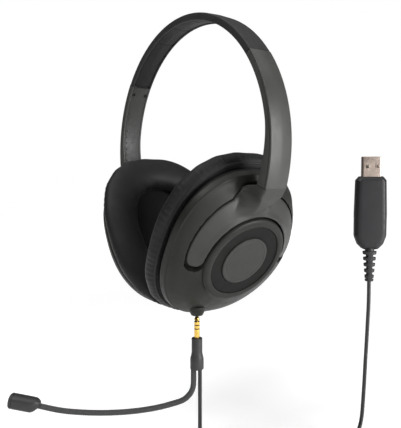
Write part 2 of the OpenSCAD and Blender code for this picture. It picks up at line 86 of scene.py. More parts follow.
PLUG = np.array([21.0, -10.0, 0.0])
COLLAR_Z = -189.7
TIP_Z = -190.5
GRIP_Z = TIP_Z - 14.0
GRIP_L = 20.3
GRIP_END_Z = GRIP_Z - GRIP_L
VIEW_TURN = math.radians(54)
ACROSS = np.array([math.cos(VIEW_TURN), math.sin(VIEW_TURN), 0.0])
AWAY = np.array([-math.sin(VIEW_TURN), math.cos(VIEW_TURN), 0.0])
LEAD = PLUG + 1.9 * ACROSS
BOOM_OFF = -2.2
BOOM_D = 3.8
CORD_D = 2.6

USB = np.array([75.9, 92.7, 0.0])
USB_TIP_Z = -87.4
USB_METAL_L = 13.0
USB_W = 20.0
USB_L = 48.6
USB_TOP_Z = USB_TIP_Z - USB_METAL_L
USB_END_Z = USB_TOP_Z - USB_L
RELIEF_L = 20.5
RELIEF_TOP_Z = USB_END_Z - 1.2
RELIEF_END_Z = RELIEF_TOP_Z - RELIEF_L

FLOOR_Z = -280.0
TIE_T = 0.9
COIL_COLUMNS = 6
COIL_ROWS = 4
COIL_R = 14.0
COIL_OUT = COIL_R + (COIL_COLUMNS - 1) * CORD_D / 2
COIL_X = 60.0
COIL_Y = LEAD[1] + COIL_OUT
COIL_LOW_Z = FLOOR_Z + TIE_T + CORD_D / 2
COIL_HIGH_Z = COIL_LOW_Z + (COIL_ROWS - 1) * CORD_D


# ---------- mesh helpers ----------

def new_object(name, data):
    """An object linked into the scene."""
    piece = bpy.data.objects.new(name, data)
    bpy.context.scene.collection.objects.link(piece)
    return piece


def solid(name, points, faces, sharp):
    """A closed mesh from points in millimetres, smooth but for edges sharper than an angle."""
    mesh = bpy.data.meshes.new(name)
    mesh.from_pydata((np.asarray(points, float) * MM).tolist(), [], faces)
    mesh.update()
    piece = new_object(name, mesh)
    outward(piece)
    shade(piece, sharp)
    return piece


def outward(piece):
    """Turns every face outwards."""
    work = bmesh.new()
    work.from_mesh(piece.data)
    bmesh.ops.recalc_face_normals(work, faces=work.faces)
    work.to_mesh(piece.data)
    work.free()


def shade(piece, sharp):
    piece.data.polygons.foreach_set("use_smooth", [True] * len(piece.data.polygons))
    piece.data.set_sharp_from_angle(angle=math.radians(sharp))


def grid(name, rows, closed=False, sharp=40):
    """A mesh from rings of points, rows[i][j]; the last ring joins the first, or both are capped."""
    rows = np.asarray(rows, float)
    count, size = rows.shape[:2]
    faces = []
    for i in range(count if closed else count - 1):
        a, b = i * size, (i + 1) % count * size
        for j in range(size):
            k = (j + 1) % size
            faces.append((a + j, a + k, b + k, b + j))
    if not closed:
        faces += [tuple(range(size)), tuple(range((count - 1) * size, count * size))]
    return solid(name, rows.reshape(-1, 3), faces, sharp)


def select(pieces):
    """Selects pieces only, the first of them active."""
    bpy.ops.object.select_all(action="DESELECT")
    for piece in pieces:
        piece.select_set(True)
    bpy.context.view_layer.objects.active = pieces[0]


def join(name, parts):
    """Several meshes made one piece."""
    select(parts)
    bpy.ops.object.join()
    parts[0].name = parts[0].data.name = name
    return parts[0]


def applied(piece):
    """The piece with its modifiers worked into its mesh."""
    select([piece])
    for modifier in list(piece.modifiers):
        bpy.ops.object.modifier_apply(modifier=modifier.name)
    return piece


def spline(points, steps):
    """Catmull-Rom curve through the points."""
    p = np.asarray(points, float)
    out = []
    for i in range(len(p) - 1):
        a, b, c, d = p[max(i - 1, 0)], p[i], p[i + 1], p[min(i + 2, len(p) - 1)]
        for k in range(steps):
            t = k / steps
            out.append(0.5 * (2 * b + (c - a) * t + (2 * a - 5 * b + 4 * c - d) * t * t
                              + (3 * b - a - 3 * c + d) * t ** 3))
    return np.array(out + [p[-1]])


def step(t):
    t = np.clip(t, 0, 1)
    return t * t * (3 - 2 * t)


def circle(count, radius=1.0):
    """Points round a circle; the radius may change from point to point."""
    t = np.arange(count) * 2 * math.pi / count
    return np.stack([radius * np.cos(t), radius * np.sin(t)], axis=-1)


def oval(half_x, half_y, power, count):
    """Points round a superellipse."""
    unit = circle(count)
    return [half_x, half_y] * np.sign(unit) * np.abs(unit) ** (2 / power)


def box(x, y):
    """Corners of a rectangle from two pairs of limits."""
    return np.array([(x[0], y[0]), (x[1], y[0]), (x[1], y[1]), (x[0], y[1])])


def level(ring, height):
    """A plane ring of points set at a height."""
    return np.column_stack([ring, height + np.zeros(len(ring))])


def lathe(name, profile, to_world, count, sharp):
    """Turns a profile of (radius, height) points round the local z axis; an open one is capped."""
    closed = profile[0] == profile[-1]
    rows = [level(circle(count, r), h) for r, h in (profile[:-1] if closed else profile)]
    return grid(name, to_world(np.array(rows)), closed, sharp)


def rounded(corners, radius, steps=4):
    """A closed outline with each corner rounded; a corner is (x, y) or (x, y, its own radius)."""
    out = []
    count = len(corners)
    for i, corner in enumerate(corners):
        here = np.array(corner[:2], float)
        before = np.array(corners[i - 1][:2], float) - here
        after = np.array(corners[(i + 1) % count][:2], float) - here
        r = corner[2] if len(corner) > 2 else radius
        lb, la = np.linalg.norm(before), np.linalg.norm(after)
        before, after = before / lb, after / la
        cos = np.clip(before @ after, -0.999999, 0.999999)
        cut = min(r / math.tan(math.acos(cos) / 2), 0.49 * lb, 0.49 * la)
        if r <= 0 or cos < -0.9999:
            out.append(here)
            continue
        start, end = here + before * cut, here + after * cut
        for k in range(steps + 1):
            t = k / steps
            out.append((1 - t) ** 2 * start + 2 * t * (1 - t) * here + t * t * end)
    return np.array(out)


def placed(points, origin, *axes):
    """Points of a local frame, given by its origin and axes, in the shared frame."""
    return origin + np.asarray(points, float) @ np.array(axes)


def in_cup(points, side=1):
    """Cup frame (back, up, out) to the shared frame, for the left cup (1) or the right one (-1)."""
    return placed(points, CUP_CENTRE, CUP_BACK, CUP_UP, CUP_OUT) * np.array([side, 1, 1])


def on_plug(points):
    return PLUG + points


def in_plug(points):
    return placed(points, PLUG, ACROSS, AWAY, UP)


def in_usb(points):
    return placed(points, USB, ACROSS, AWAY, UP)


def on_arch(radius, width, angle, side=1):
    """Points of the headband at an angle above the horizontal through its centre."""
    a = np.radians(angle)
    radius, width, a = np.broadcast_arrays(radius, width, a)
    return np.stack([side * radius * np.cos(a), width, BAND_Z + radius * np.sin(a)], axis=-1)


# ---------- camera ----------

CAMERA_RISE = math.radians(3.2)
CAMERA_TARGET = Vector((7.4, 2.7, -125.6)) * MM
CAMERA_DISTANCE = 366.7 * MM
CAMERA_LENS = 45.96


def add_camera():
    toward = Vector((math.sin(VIEW_TURN) * math.cos(CAMERA_RISE), -math.cos(VIEW_TURN) * math.cos(CAMERA_RISE),
                     math.sin(CAMERA_RISE)))
    camera = new_object("camera", bpy.data.cameras.new("camera"))
    camera.data.lens = CAMERA_LENS
    camera.data.clip_start = 0.01
    camera.location = CAMERA_TARGET + CAMERA_DISTANCE * toward
    camera.rotation_euler = (-toward).to_track_quat("-Z", "Y").to_euler()
    bpy.context.scene.camera = camera


add_camera()


# ---------- lead ----------

PLUG_ROUTE = [LEAD + np.array([x, 0, z]) for x, z in (
    (0, GRIP_END_Z), (0, -240), (0, -255), (0.3, -266), (2.9, -274), (8.9, -278), (17.9, -278.7),
    (27.9, -278.2), (COIL_X - LEAD[0], COIL_LOW_Z))]
USB_ROUTE = [(COIL_X + COIL_OUT, COIL_Y, COIL_HIGH_Z), (80.5, 24, -271), (80.2, 38, -274.5), (79.2, 54, -277.8),
             (77.2, 69, -278.7), (75.2, 81, -276), (74.3, 88.6, -267), (74.4, 90.6, -251), (75, 91.5, -225),
             (75.6, 92.3, -200), (75.9, 92.7, -184), (75.9, 92.7, RELIEF_END_Z), (75.9, 92.7, USB_END_Z),
             (75.9, 92.7, USB_END_Z + 8)]
STEPS_PER_TURN = 40


def coil_turns():
    """The spare lead: rows of turns laid on each other, each row wound in or out through the columns."""
    turns = COIL_COLUMNS * COIL_ROWS
    places = []
    for row in range(COIL_ROWS):
        columns = range(COIL_COLUMNS) if row % 2 else range(COIL_COLUMNS - 1, -1, -1)
        places += [(COIL_R + (c - (COIL_COLUMNS - 1) / 2) * CORD_D, COIL_LOW_Z + row * CORD_D) for c in columns]
    places.append(places[-1])
    points = []
    for k in range(1, turns * STEPS_PER_TURN + STEPS_PER_TURN // 4):
        turn, part = divmod(k / STEPS_PER_TURN, 1)
        here, after = places[int(turn)], places[min(int(turn) + 1, turns)]
        change = step((part - 0.8) / 0.2)
        radius, height = (a + change * (b - a) for a, b in zip(here, after))
        angle = 2 * math.pi * (k / STEPS_PER_TURN - 0.25)
        points.append((COIL_X + radius * math.cos(angle), COIL_Y + radius * math.sin(angle), height))
    return points


def add_lead():
    route = np.concatenate([spline(PLUG_ROUTE, 3), coil_turns(), spline(USB_ROUTE, 3)])
    curve = bpy.data.curves.new("lead", "CURVE")
    curve.dimensions = "3D"
    curve.bevel_depth = CORD_D / 2 * MM
    curve.bevel_resolution = 4
    curve.use_fill_caps = True
    line = curve.splines.new("POLY")
    line.points.add(len(route) - 1)
    for point, place in zip(line.points, route * MM):
        point.co = (*place, 1)
    line.use_smooth = True
    return new_object("lead", curve), float(np.linalg.norm(np.diff(route, axis=0), axis=1).sum())


lead, lead_length = add_lead()


# ---------- materials ----------

def colour(code):
    """Linear colour from a hex code."""
    parts = [int(code[i:i + 2], 16) / 255 for i in (1, 3, 5)]
    return tuple(p / 12.92 if p <= 0.04045 else ((p + 0.055) / 1.055) ** 2.4 for p in parts) + (1.0,)


class Nodes:
    """Short names for the shader nodes that the materials below are built from."""

    def __init__(self, name):
        self.material = bpy.data.materials.new(name)
        self.material.use_nodes = True
        self.tree = self.material.node_tree
        self.shader = self.tree.nodes["Principled BSDF"]
        self.coords = self.tree.nodes.new("ShaderNodeTexCoord").outputs["Object"]

    def fill(self, node, inputs):
        for key, value in inputs.items():
            if isinstance(value, bpy.types.NodeSocket):
                self.tree.links.new(value, node.inputs[key])
            else:
                node.inputs[key].default_value = value
        return node

    def node(self, kind, inputs, **settings):
        node = self.tree.nodes.new("ShaderNode" + kind)
        for key, value in settings.items():
            setattr(node, key, value)
        return self.fill(node, inputs)

    def noise(self, scale, detail, coords=None, distortion=0.0):
        return self.node("TexNoise", {"Vector": coords or self.coords, "Scale": scale, "Detail": detail,
                                      "Distortion": distortion}).outputs["Fac"]

    def cells(self, scale, feature="F1"):
        return self.node("TexVoronoi", {"Vector": self.coords, "Scale": scale}, feature=feature).outputs["Distance"]

    def mapped(self, **settings):
        return self.node("Mapping", {"Vector": self.coords, **settings}).outputs["Vector"]

    def math(self, operation, a, b):
        return self.node("Math", {0: a, 1: b}, operation=operation).outputs[0]

    def spread(self, value, low, high, from_low=0.3, from_high=0.7):
        return self.node("MapRange", {"Value": value, "From Min": from_low, "From Max": from_high,
                                      "To Min": low, "To Max": high}).outputs["Result"]

    def blend(self, factor, a, b):
        return self.node("Mix", {0: factor, 6: a, 7: b}, data_type="RGBA").outputs[2]

    def tint(self, factor, code, spread):
        """A colour between a darker and a lighter version of itself."""
        dark, light = (tuple(c * scale for c in colour(code)[:3]) + (1,) for scale in (1 - spread, 1 + spread))
        return self.blend(factor, dark, light)

    def mottled(self, code, spread, scale, detail):
        return self.tint(self.spread(self.noise(scale, detail), 0, 1), code, spread)

    def bump(self, height, strength, distance):
        return self.node("Bump", {"Height": height, "Strength": strength, "Distance": distance}).outputs["Normal"]

    def paint(self, **inputs):
        self.fill(self.shader, {key.replace("_", " "): value for key, value in inputs.items()})
        return self.material


def plastic(name, code, roughness, grain, specular=0.3):
    """Moulded plastic: fine spark grain, faint mottling and uneven gloss."""
    n = Nodes(name + "_plastic")
    return n.paint(Base_Color=n.mottled(code, 0.10, 70, 3), Specular_IOR_Level=specular,
                   Roughness=n.spread(n.noise(240, 2), roughness - 0.05, roughness + 0.06),
                   Normal=n.bump(n.noise(2600, 3), grain, 0.00012))


def rubber(name, code, roughness):
    """Soft-touch rubber: matt, with a fine pebble and a faint bloom."""
    n = Nodes(name)
    pebble = n.math("ADD", n.cells(1500), n.math("MULTIPLY", n.noise(3500, 2), 0.6))
    return n.paint(Base_Color=n.mottled(code, 0.14, 45, 4), Specular_IOR_Level=0.35,
                   Roughness=n.spread(n.noise(160, 2), roughness - 0.06, roughness + 0.06),
                   Normal=n.bump(pebble, 0.22, 0.00012))


def leather(name, code, roughness, scale):
    """Artificial leather: small rounded cells with creases between them, and a soft sheen."""
    n = Nodes(name)
    crease = n.spread(n.cells(scale, "DISTANCE_TO_EDGE"), 0, 1, 0.0, 0.16)
    folds = n.noise(320, 4, distortion=0.6)
    height = n.math("ADD", n.math("MULTIPLY", crease, 0.7), folds)
    return n.paint(Base_Color=n.tint(n.spread(folds, 0, 1), code, 0.18), Specular_IOR_Level=0.3,
                   Roughness=n.spread(n.noise(90, 3), roughness - 0.07, roughness + 0.08),
                   Sheen_Weight=0.03, Sheen_Roughness=0.45, Normal=n.bump(height, 0.28, 0.00022))


def metal(name, code, roughness, brushed=True):
    """Bare or plated metal; brushed metal has fine lines along its length."""
    n = Nodes(name)
    lines = n.noise(5200, 3, coords=n.mapped(Scale=(1.0, 1.0, 0.04)))
    rough = n.spread(lines if brushed else n.noise(600, 2), roughness - 0.07, roughness + 0.1)
    return n.paint(Base_Color=n.mottled(code, 0.08, 220, 3), Metallic=1.0, Roughness=rough,
                   Normal=n.bump(lines, 0.1 if brushed else 0.03, 0.00005))


def cloth(name, code, pitch, turn=(0, 0, 0)):
    """Plain woven cloth with a thread pitch in metres."""
    n = Nodes(name)
    coords = n.mapped(Rotation=turn)
    warp, weft = (n.node("TexWave", {"Vector": coords, "Scale": 10 / (pitch * 2 * math.pi)},
                         bands_direction=direction).outputs["Fac"] for direction in "YZ")
    weave = n.math("MULTIPLY", warp, weft)
    return n.paint(Base_Color=n.tint(weave, code, 0.5), Roughness=0.9, Specular_IOR_Level=0.2, Sheen_Weight=0.06,
                   Sheen_Roughness=0.6, Normal=n.bump(weave, 0.5, 0.0002))


def hook_loop(name, code):
    """Hook-and-loop strap: a fuzzy mat of fine loops."""
    n = Nodes(name)
    fuzz = n.math("ADD", n.noise(2400, 5, distortion=1.2), n.cells(1900))
    return n.paint(Base_Color=n.tint(n.spread(fuzz, 0, 1, 0.4, 1.1), code, 0.45), Roughness=0.95,
                   Specular_IOR_Level=0.15, Sheen_Weight=0.3, Sheen_Roughness=0.5,
                   Normal=n.bump(fuzz, 0.7, 0.0004))


def sheath(name, code):
    """Cord sheath: smooth extruded plastic with faint draw marks and dust."""
    n = Nodes(name)
    return n.paint(Base_Color=n.mottled(code, 0.12, 120, 3), Roughness=n.spread(n.noise(420, 2), 0.33, 0.45),
                   Specular_IOR_Level=0.5, Normal=n.bump(n.noise(1800, 2), 0.08, 0.0001))


def circuit(name):
    """Green solder mask with copper tracks under it."""
    n = Nodes(name)
    tracks = n.spread(n.cells(300, "DISTANCE_TO_EDGE"), 1, 0, 0.0, 0.05)
    return n.paint(Base_Color=n.blend(tracks, colour("#143d28"), colour("#2f6b45")), Roughness=0.35,
                   Normal=n.bump(tracks, 0.3, 0.00005))


def film(name):
    """Diaphragm film: pale, glossy and slightly uneven."""
    n = Nodes(name)
    ripples = n.noise(400, 3)
    return n.paint(Base_Color=n.blend(ripples, colour("#b9b49c"), colour("#d8d4c0")), Roughness=0.22,
                   Normal=n.bump(ripples, 0.2, 0.0001))


LOOKS = {slot: look for slots, look in (
    ("arm_shell", plastic("arm", "#383836", 0.42, 0.14)),
    ("arm_cover", plastic("arm_inner", "#2c2c2b", 0.46, 0.14)),
    ("yoke", plastic("yoke", "#2f2f2d", 0.42, 0.12)),
    ("cup_shell", plastic("shell", "#1f1f1c", 0.44, 0.14, 0.22)),
    ("hub_ring", plastic("hub", "#1f1f1d", 0.46, 0.12, 0.2)),
    ("trim_ring", plastic("trim", "#0f0f0e", 0.6, 0.20, 0.15)),
    ("hub_cap", plastic("cap", "#272725", 0.42, 0.08)),
    ("baffle cushion_plate jack_socket jack_insulators", plastic("dark", "#161616", 0.5, 0.2)),
    ("plug_grip mic_shell mic_cap", plastic("grip", "#2e2e2e", 0.5, 0.2, 0.35)),
    ("usb_body_front", plastic("usb", "#1d1d1f", 0.45, 0.16)),
    ("usb_body_back", plastic("usb_back", "#19191b", 0.46, 0.16)),
    ("usb_tongue", plastic("white", "#e2e2dc", 0.35, 0.1)),
    ("driver_frame", plastic("frame", "#505050", 0.45, 0.2)),
    ("headband_cover", rubber("cover_rubber", "#1d1d1d", 0.62)),
    ("usb_strain_relief", rubber("relief_rubber", "#222224", 0.5)),
    ("headband_pad", leather("pad_leather", "#070707", 0.66, 1400)),
    ("cushion", leather("cushion_leather", "#060606", 0.55, 1150)),
    ("gooseneck", cloth("braid", "#4c4c4c", 0.0011)),
    ("ear_cloth", cloth("ear_cloth", "#060606", 0.0016, (0, -CUP_LEAN, 0))),
    ("ear_cloth_right", cloth("ear_cloth_right", "#060606", 0.0016, (0, CUP_LEAN, 0))),
    ("coil_tie", hook_loop("tie_strap", "#1a1a1a")),
    ("plug_lead usb_lead cord_coil", sheath("cord_sheath", "#181818")),
    ("spring_strip pivot_pins driver_magnet", metal("steel", "#b4b2ae", 0.3)),
    ("slider", metal("slider_steel", "#4c4c4b", 0.42)),
    ("arm_screws cup_screws", metal("black_steel", "#2a2a2a", 0.4)),
    ("usb_shell", metal("nickel", "#b5a69c", 0.36)),
    ("usb_contacts jack_contacts", metal("gold", "#d8b25a", 0.2, brushed=False)),
    ("mic_capsule", metal("aluminium", "#a9a9a2", 0.35)),
    ("usb_board", circuit("board")),
    ("diaphragm", film("diaphragm_film")),
) for slot in slots.split()}


def dress(piece, look):
    piece.data.materials.clear()
    piece.data.materials.append(LOOKS[look])


def put(piece, body, slot, *nodes):
    """Gives a piece the look of its slot and its CAD body, and hides the CAD nodes that it stands for."""
    dress(piece, slot)
    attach(piece, body)
    if nodes:
        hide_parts(*nodes)


for node_name, cad_node in frame["nodes"].items():
    dress(cad_node, node_name.removeprefix("left_").removeprefix("right_"))


# ---------- headband ----------

def add_headband():
    """The rubber cover, a channel in section, and the padded leather strip between its sides."""
    angles = np.linspace(COVER_END, 180 - COVER_END, 121)
    inner = BAND_R - BAND_T
    section = rounded([(BAND_R, 0, 9), (BAND_R - 0.35, 8, 1.1), (inner + 0.1, 8, 0.5), (inner + 0.1, 6.65, 0.4),
                       (inner + 2.9, 6.65, 0.1), (inner + 2.9, -6.65, 0.1), (inner + 0.1, -6.65, 0.4),
                       (inner + 0.1, -8, 0.5), (BAND_R - 0.35, -8, 1.1)], 0.4)
    cover = grid("headband_cover_moulding", [on_arch(*section.T, a) for a in angles])
    put(cover, "headband", "headband_cover", "headband_cover")

    angles = np.linspace(COVER_END + 0.05, 179.95 - COVER_END, 161)
    pad = rounded([(inner + 2.8, 6.5, 0.2), (inner + 0.55, 6.5, 0.9), (inner, 0, 9), (inner + 0.55, -6.5, 0.9),
                   (inner + 2.8, -6.5, 0.2)], 0.3, 6)
    face = pad[:, 0] < inner + 1.2
    rows = []
    for a in angles:
        channel = 0.45 * math.exp(-((a - 90) % 15 - 7.5) ** 2 / 0.18) * face
        edge = min(1, (a - angles[0]) / 1.2, (angles[-1] - a) / 1.2)
        rows.append(on_arch(pad[:, 0] + channel + 0.5 * (1 - step(edge)) * face, pad[:, 1], a))
    strip = grid("headband_pad_leather", rows)
    put(strip, "headband", "headband_pad", "headband_pad")


def arm_inner_radius(angle):
    """The arm's inner face: level with the band above, deeper below where the slider runs."""
    t = np.clip((ARM_SWELL - angle) / (ARM_SWELL - ARM_END), 0, 1)
    return BAND_R - BAND_T - (ARM_END_T - BAND_T) * (0.5 * t + 0.5 * step(t))


def arm_section(angle):
    inner = arm_inner_radius(angle)
    half = [(BAND_R - 0.3, 8, 0.7), (BAND_R - 1.45, 8, 0.12), (BAND_R - 1.5, 7.6, 0.08), (BAND_R - 1.8, 7.6, 0.08),
            (BAND_R - 1.85, 8, 0.12), (inner, 8, 0.9), (inner, 6.5, 0.2), (inner + 1.3, 6.5, 0.1)]
    other = [(r, -y, c) for r, y, c in reversed(half)]
    return rounded([(BAND_R, 0, 9)] + half + other, 0.1, 3)


def drill(piece, cutters):
    """Cuts closed meshes out of a piece."""
    for cutter in cutters:
        cut = piece.modifiers.new("cut", "BOOLEAN")
        cut.object = cutter
        cut.operation = "DIFFERENCE"
        cut.solver = "EXACT"
    applied(piece)
    for cutter in cutters:
        bpy.data.objects.remove(cutter)
    shade(piece, 35)


def plate_section(angle):
    inner = arm_inner_radius(angle)
    return rounded([(inner + 1.1, 6.35, 0.1), (inner + 0.08, 6.35, 0.3), (inner, 0, 9),
                    (inner + 0.08, -6.35, 0.3), (inner + 1.1, -6.35, 0.1)], 0.3, 3)


SCREW_ANGLE = 33
SLOT = box((-5.6, -4.9), (-0.5, 0.5))


def add_arm(side, label):
    """The arm's moulding and the plate over its inner side, with screw holes and detent slots."""
    angles = np.concatenate([np.linspace(COVER_END - 0.25, ARM_SWELL, 36), np.linspace(ARM_SWELL, ARM_END, 36)[1:]])
    shell = grid(label + "_arm_moulding", [on_arch(*arm_section(a).T, a, side) for a in angles], sharp=35)
    put(shell, "headband", "arm_shell", label + "_arm_shell")
    angles = np.concatenate([[COVER_END - 0.3], angles[1:-1]])
    plate = grid(label + "_arm_inner_plate", [on_arch(*plate_section(a).T, a, side) for a in angles], sharp=35)
    inner = BAND_R - BAND_T
    across, along = circle(32, 1.35).T
    cutters = [grid("hole", [on_arch(r, y + across, SCREW_ANGLE + np.degrees(along / r), side)
                             for r in (inner - 1.5, inner + 1.6)]) for y in (-4.9, 4.9)]
    cutters += [grid("slot", [on_arch(arm_inner_radius(a) + d, SLOT[:, 0], a + SLOT[:, 1], side)
                              for d in (-0.6, 0.45)]) for a in 22 - 3.2 * np.arange(9)]
    drill(plate, cutters)
    put(plate, "headband", "arm_cover", label + "_arm_cover")


add_headband()
add_arm(1, "left")
add_arm(-1, "right")


# ---------- cup shapes ----------

def dome(x, u, inside=0.0):
    """Height of the cup's dome above the hub face's plane, or of a surface inside it."""
    return DOME_N + np.sqrt(np.maximum((DOME_R - inside) ** 2 - x * x - u * u, 1))


LEG_X = 35.1
LEG_R = 4.5
LEG_U = 1.2
NECK_X = -4.0
NECK_HALF = 8.0
NECK_TOP = 53.0
YOKE_INNER_R = 30.6
YOKE_OUTER_R = 40.0
YOKE_RISE = 3.5


def arc(cx, cy, radius, start, end, count):
    a = np.radians(np.linspace(start, end, count))
    return [(cx + radius * math.cos(t), cy + radius * math.sin(t)) for t in a]


def yoke_outline(drop=0.0):
    """The yoke's plan: a horseshoe with rounded legs and a flared neck; drop lowers the leg ends."""
    back_flare = spline([(9.6, 42.3), (6.4, 43.6), (4.6, 45.8), (4.0, 49), (4, 52)], 5)
    front_flare = spline([(-12, 52), (-12.1, 49), (-12.8, 46), (-14.6, 43.2), (-17.6, 40.4)], 5)
    points = arc(-LEG_X, LEG_U - drop, LEG_R, 180, 360, 15)
    points += arc(0, 0, YOKE_INNER_R, 177.7, 2.3, 70)
    points += arc(LEG_X, LEG_U - drop, LEG_R, 180, 360, 15)
    points += arc(0, YOKE_RISE, YOKE_OUTER_R, 0, 74, 34)
    points += [*back_flare, (NECK_X + NECK_HALF, NECK_TOP), (NECK_X - NECK_HALF, NECK_TOP), *front_flare]
    points += arc(0, YOKE_RISE, YOKE_OUTER_R, 118, 180, 30)
    return np.array(points)


def distance_to(outline, x, u):
    """Signed distance from points to a closed outline, negative inside."""
    shape = x.shape
    p = np.stack([x.ravel(), u.ravel()], axis=-1)
    a, b = outline, np.roll(outline, -1, axis=0)
    nearest = np.full(len(p), 1e9)
    inside = np.zeros(len(p), bool)
    for (ax, ay), (bx, by) in zip(a, b):
        dx, dy = bx - ax, by - ay
        if dx == 0 and dy == 0:
            continue
        t = np.clip(((p[:, 0] - ax) * dx + (p[:, 1] - ay) * dy) / (dx * dx + dy * dy), 0, 1)
        nearest = np.minimum(nearest, np.hypot(p[:, 0] - ax - t * dx, p[:, 1] - ay - t * dy))
        if ay != by:
            crosses = (ay > p[:, 1]) != (by > p[:, 1])
            inside ^= crosses & (p[:, 0] < ax + (p[:, 1] - ay) * dx / dy)
    return np.where(inside, -nearest, nearest).reshape(shape)


NECK_TOP_LINE = spline([(20, 0.9), (26, -1.0), (31, -1.9), (35, -0.6), (40, 1.5), (44, 3.2), (48, 4.6),
                        (54, 5.6)], 6)
NECK_LOW_LINE = np.array([(20, -3.5), (31, -5.7), (38, -8.6), (43, -10.9), (47.5, -10.7), (50, -8.6), (52.2, -2.7),
                          (54, -2.5)])


def yoke_height(x, u):
    """Outer surface of the yoke: the dome, with the neck rising out of it and flaring where they meet."""
    base = dome(x, u)
    neck = np.maximum(np.interp(u, NECK_TOP_LINE[:, 0], NECK_TOP_LINE[:, 1]), base)
    ridge = np.interp(u, [28, 33, 38, 42, 45.5, 48, 53], [2.0, 2.2, 2.8, 4.2, 6.2, 8.3, 8.6])
    spread = np.interp(u, [28, 33, 38, 42, 46, 49, 51], [16, 13, 9.5, 6.8, 3.8, 1.4, 0.5])
    side = 1 - step((np.abs(x - NECK_X) - ridge) / spread)
    return base + (neck - base) * side * step((u - 27) / 7)


def yoke_depth(x, u):
    base = dome(x, u, YOKE_T)
    neck = np.interp(u, NECK_LOW_LINE[:, 0], NECK_LOW_LINE[:, 1])
    side = 1 - step((np.abs(x - NECK_X) - 7.5) / 3)
    return base + (neck - base) * side * step((u - 36) / 5)


def remeshed(piece, size, rounds):
    """The piece rebuilt from small cells and smoothed, which rounds its edges."""
    cells = piece.modifiers.new("cells", "REMESH")
    cells.mode = "VOXEL"
    cells.voxel_size = size * MM
    soft = piece.modifiers.new("soft", "SMOOTH")
    soft.factor = 0.5
    soft.iterations = rounds
    return applied(piece)


def vertices(piece):
    """The mesh's vertices as an array in millimetres."""
    out = np.zeros(len(piece.data.vertices) * 3)
    piece.data.vertices.foreach_get("co", out)
    return out.reshape(-1, 3) / MM


def move_to(piece, points):
    piece.data.vertices.foreach_set("co", (np.asarray(points) * MM).ravel())
    piece.data.update()


def add_yoke(side, label):
    """A flat plate with the yoke's outline, bent on to the dome and thickened into the neck."""
    rows = [level(yoke_outline(), z) for z in (0.0, YOKE_T)]
    plate = remeshed(grid(label + "_yoke_moulding", rows), 0.55, 5)
    p = vertices(plate)
    x, u = p[:, 0], p[:, 1]
    part = np.clip(p[:, 2] / YOKE_T, -0.05, 1.05)
    low, high = yoke_depth(x, u), yoke_height(x, u)
    high = np.maximum(high, low + 1.3)
    high = high + 0.75 * step((34.5 - np.hypot(x, u)) / 4) * step((u + 4) / 10)
    n = low + (high - low) * part
    lean = np.clip((u - 45) / (NECK_TOP - 45), 0, 1.1)
    u = u + lean * 0.2 * (n - 1.0)
    move_to(plate, in_cup(np.stack([x, u, n], axis=-1), side))
    outward(plate)
    shade(plate, 60)
    put(plate, label + "_slide", "yoke", label + "_yoke")


OUTLINE_HALF = (45.9, 52.4)
EDGE_N = -13.6
OUTLINE_POWER = 2.35


def shell_outline(inset, count):
    return oval(OUTLINE_HALF[0] - inset, OUTLINE_HALF[1] - inset, OUTLINE_POWER, count) + OUTLINE_CENTRE


def add_shell(side, label):
    """The cup's moulded back: a dome with a crisp side wall, a chamfered rim and the yoke's pocket."""
    count = 480
    hub = circle(count, HUB_R + 0.2)
    edge = shell_outline(1.5, count)
    fall = EDGE_N - dome(*edge.T)
    rows = []
    for t in np.linspace(0, 1, 60):
        xy = hub + (edge - hub) * t
        rows.append(level(xy, dome(*xy.T) + fall * max(0.0, (t - 0.55) / 0.45) ** 4.5))
    wall = [(1.2, EDGE_N - 0.12), (0.95, EDGE_N - 0.4), (0.8, EDGE_N - 0.8)]
    wall += [(0.8 * (1 - t), EDGE_N - 0.8 - 3.0 * t) for t in np.arange(1, 6) / 5]
    rim = [(0.1, -17.9), (0.4, -18.6), (0.8, -18.9), (1.2, RIM_N), (2.4, RIM_N)]
    inside = [(2.6, -18), (4.0, -16.2), (8.5, -13.6), (16.5, -10.4)]
    outer = len(rows) + len(wall)
    rows += [level(shell_outline(inset, count), n) for inset, n in wall + rim + inside]
    rows = np.array(rows + [level(hub, -8.0)])

    x, u, n = rows[:outer, :, 0], rows[:outer, :, 1], rows[:outer, :, 2]
    pocket = step((0.95 - distance_to(yoke_outline(2.6), x, u)) / 0.55)
    floor = dome(x, u, YOKE_T + 1.0)
    floor = floor + (-11.9 - floor) * step((u - 38) / 5)
    rows[:outer, :, 2] = n + (np.minimum(floor, n) - n) * pocket
    shell = grid(label + "_cup_moulding", in_cup(rows, side), closed=True, sharp=50)
    if side > 0:
        hole = [on_plug(level(circle(48, 3.1), z)) for z in (-196.0, -168.0)]
        drill(shell, [grid("socket_hole", hole)])
        shade(shell, 50)
    put(shell, label + "_cup", "cup_shell", label + "_cup_shell")


SKIRT_X = 9.0
SKIRT_U = -1.0
SKIRT_R = 36.5


